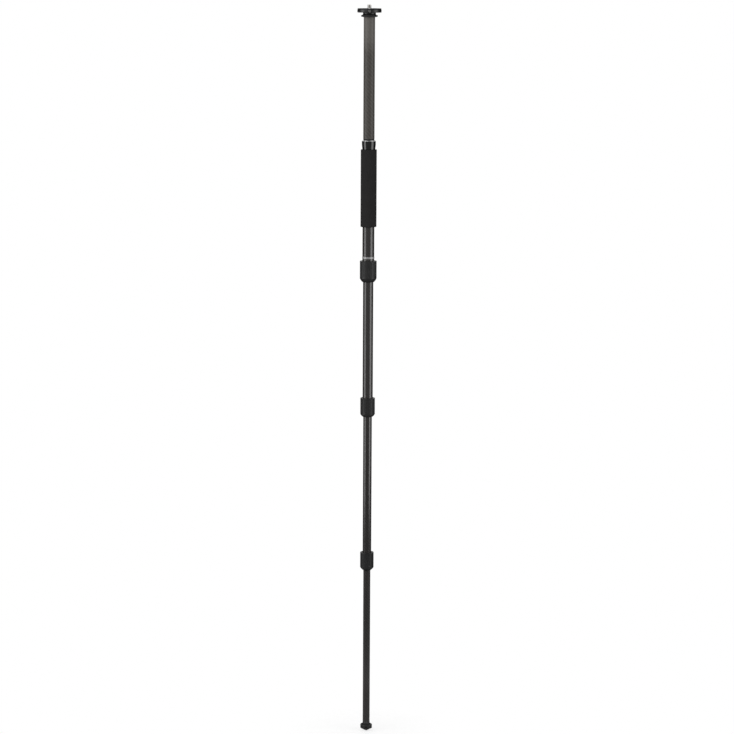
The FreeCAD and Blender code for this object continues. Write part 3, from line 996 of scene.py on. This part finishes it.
def moulded(name, dark, light, gloss, grain_size, relief, index, dusty_below=None, crown=None,
            painted_shade=None):
    """Rubber or plastic. Dust clings under dusty_below, and hands polish it out at crown. The grooves
    below crown are painted darker as shade.

    The function for painted shade takes the recipe, height and distance, and is 1 where a corner is
    painted dark as shade.
    """
    recipe = new_recipe(name)
    point = TurnedPoint(recipe)
    stipple = recipe.grain(point.place, 1.0 / grain_size, 2.0, 0.55)
    patches = recipe.grain(point.place, 130.0, 4.0, 0.6)
    colour = recipe.blend(0.55 * patches + 0.45 * stipple, dark, light)
    roughness = gloss + 0.12 * stipple + 0.06 * patches
    if crown:
        paler_share = recipe.step(point.distance(), crown - crown_depth, crown)
        roughness = roughness - 0.12 * paler_share
        # Painted shade: the grooves between the ribs are painted darker.
        colour = recipe.blend(0.25 * (1.0 - paler_share), colour, groove_shade_black)
    if dusty_below:
        dust = 1.0 - recipe.step(point.height, 0.0, dusty_below)
        dust = dust * recipe.step(patches, 0.35, 0.7)
        colour = recipe.blend(0.5 * dust, colour, settled_dust)
    # Painted shade: corners where shade falls are painted near black.
    if painted_shade:
        black = painted_shade(recipe, point.height, point.distance())
        roughness = roughness + 0.35 * black
        colour = recipe.blend(0.9 * black, colour, painted_shade_black)
    return finish(recipe, Base_Color=colour, Roughness=roughness,
                  Normal=recipe.bump(stipple, relief, 0.6), IOR=index)


# %% Lock nuts and grips
mouth_shade_full, mouth_shade_end = 1.6 * MM, 2.6 * MM


def lock_mouth(low):
    """Painted shade at the lower end of a lock, which fades between two heights above that end."""
    def painted_shade(recipe, height, distance):
        return 1.0 - recipe.step(height, low + mouth_shade_full, low + mouth_shade_end)
    return painted_shade


for number in (1, 2, 3):
    mouth = lock_mouth(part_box("lock_%d_nut" % number)[0].z)
    dress(moulded("moulded_nut_%d" % number, paint(0.014, 0.014, 0.0142),
                  paint(0.022, 0.022, 0.0225), gloss=0.3, grain_size=0.25 * MM, relief=0.01 * MM,
                  index=1.3, painted_shade=mouth), "lock_%d_nut" % number)
    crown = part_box("lock_%d_grip" % number)[1].x
    dress(moulded("ribbed_rubber_%d" % number, paint(0.009, 0.009, 0.0092),
                  paint(0.018, 0.018, 0.0184), gloss=0.5, grain_size=0.35 * MM, relief=0.03 * MM,
                  index=1.36, crown=crown), ribbed_grips[number])

# %% Slides and pads
dress(moulded("moulded_slide", grey(0.032), grey(0.06), gloss=0.4, grain_size=0.3 * MM,
              relief=0.01 * MM, index=1.46),
      "lock_1_collet", "lock_2_collet", "lock_3_collet", "tube_2_bushings", "tube_3_bushings",
      "tube_4_bushings", "foot_washer")
dress(moulded("moulded_pad", grey(0.011), grey(0.024), gloss=0.8, grain_size=0.3 * MM,
              relief=0.06 * MM, index=1.3), "top_pad", "column_washer")

# %% Foot
neck_height = 5.5 * MM
neck_shade_reach = 2.2 * MM
neck_shade_edge = (10.0 * MM, 11.5 * MM)
hole_below_neck = 4.25 * MM
hole_reach = 2.6 * MM
hole_inset = 0.3 * MM
dust_height = 4.5 * MM

foot_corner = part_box("rubber_foot")[1]
neck_root = foot_corner.z - neck_height
hole_wall = foot_corner.x - hole_inset


def neck_root_and_hole(recipe, height, distance):
    """Painted shade round the root of the neck, and inside the hole in the skirt."""
    root = recipe.near(height, neck_root, neck_shade_reach)
    root = root * (1.0 - recipe.step(distance, *neck_shade_edge))
    hole = recipe.near(height, neck_root - hole_below_neck, hole_reach) * (distance < hole_wall)
    return recipe.maths("MAXIMUM", root, hole)


dress(moulded("moulded_foot", grey(0.007), grey(0.016), gloss=0.46, grain_size=0.4 * MM,
              relief=0.04 * MM, index=1.4, dusty_below=dust_height, painted_shade=neck_root_and_hole),
      "rubber_foot")

# %% [markdown]
# ## Felt wipers
# Inside the mouth of each lock a felt ring wipes the tube clean. Its fibres could be made as hair,
# but they are too short to be told apart. They lie every way, so a fine noise with much detail
# stands for them, rough all over.

# %% Felt
felt_dark, felt_light = grey(0.018), paint(0.055, 0.054, 0.053)


def wiper_felt(name):
    recipe = new_recipe(name)
    place = TurnedPoint(recipe).place
    fibres = recipe.grain(place, 3200.0, 5.0, 0.75)
    tufts = recipe.grain(place, 700.0, 3.0, 0.6)
    nap = 0.6 * fibres + 0.4 * tufts
    return finish(recipe, Base_Color=recipe.blend(nap, felt_dark, felt_light),
                  Roughness=0.88 + 0.1 * tufts, Normal=recipe.bump(nap, 0.1 * MM, 0.8), IOR=1.35)


dress(wiper_felt("wiper_felt"), "lock_1_seal", "lock_2_seal", "lock_3_seal")

# %% [markdown]
